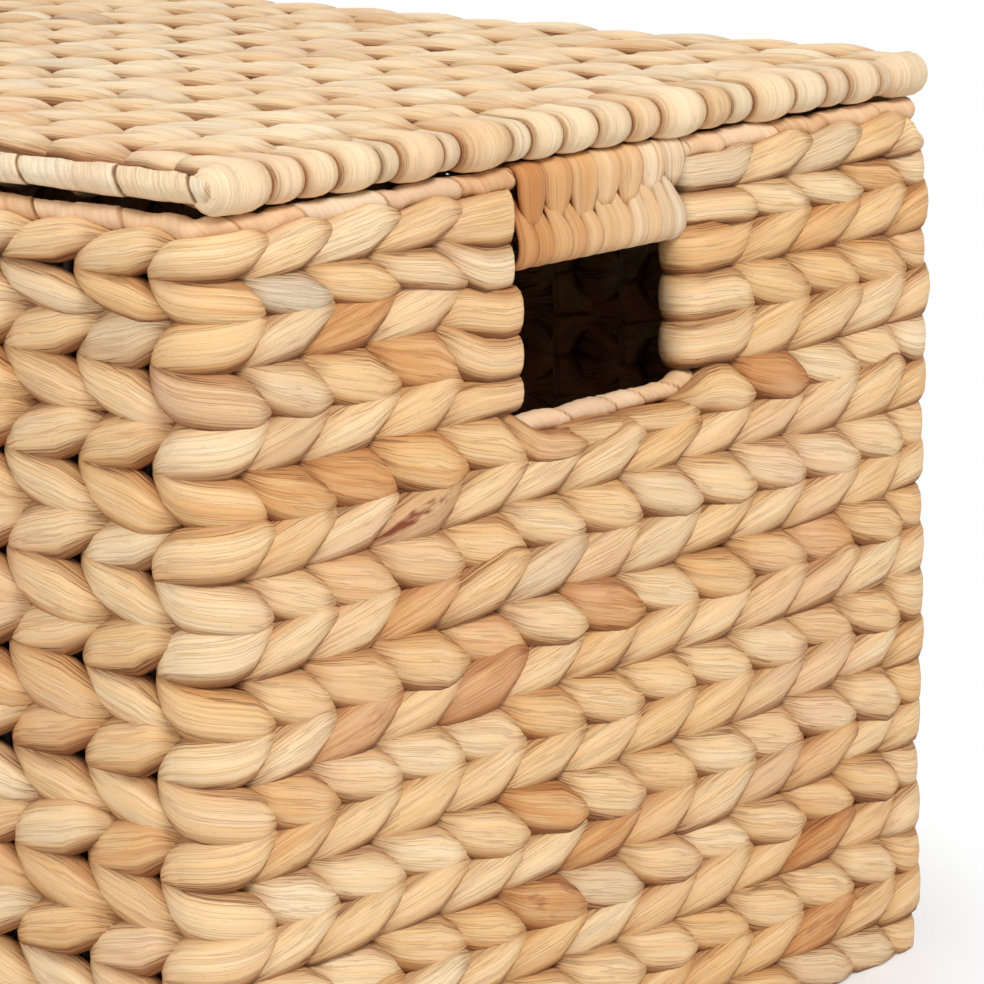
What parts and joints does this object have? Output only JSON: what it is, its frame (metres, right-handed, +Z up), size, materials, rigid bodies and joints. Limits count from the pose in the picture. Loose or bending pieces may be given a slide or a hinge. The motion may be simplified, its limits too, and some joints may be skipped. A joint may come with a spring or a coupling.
{
  "type": "woven lidded box",
  "caption": "Rectangular box of thick leaf strands twined round a steel wire frame, with a plaited hand bar over a cut-out in each end and a flat hinged woven lid.",
  "frame": {"origin": "on the ground, under the middle of the box's bottom", "axes": "+X along the box, towards the end on the right; +Y from the front wall to the hinged back wall; +Z up"},
  "size_m": [0.487, 0.367, 0.3126],
  "materials": {
    "frame_wire": "dull drawn wire",
    "wall_leaf": "dry twined water hyacinth leaf, matte with fine lengthwise fibres",
    "floor_leaf": "dry twined water hyacinth leaf, matte",
    "lid_leaf": "dry twined water hyacinth leaf, paler, matte",
    "rim_strip": "narrow leaf strip wound tight, satin",
    "handle_strip": "plaited leaf strips, satin",
    "loop_strip": "twisted leaf strip, satin"
  },
  "bodies": {
    "box": {"wire_frame": "frame_wire", "wall_weave_lower": "wall_leaf", "wall_weave_front": "wall_leaf", "wall_weave_back": "wall_leaf", "rim_wrap_front": "rim_strip", "rim_wrap_back": "rim_strip", "floor_weave": "floor_leaf", "handle_wrap_right": "handle_strip", "sill_wrap_right": "rim_strip", "handle_wrap_left": "handle_strip", "sill_wrap_left": "rim_strip"},
    "lid": {"lid_wire_frame": "frame_wire", "lid_weave": "lid_leaf", "lid_front_wrap": "rim_strip", "lid_rear_wrap": "rim_strip", "hinge_loop_right": "loop_strip", "hinge_loop_left": "loop_strip"}
  },
  "joints": [
    {"name": "lid_hinge", "type": "hinge", "parent": "box", "child": "lid", "pos_m": [0, 0.175, 0.295], "axis": [-1, 0, 0], "range_deg": [0, 100]}
  ]
}
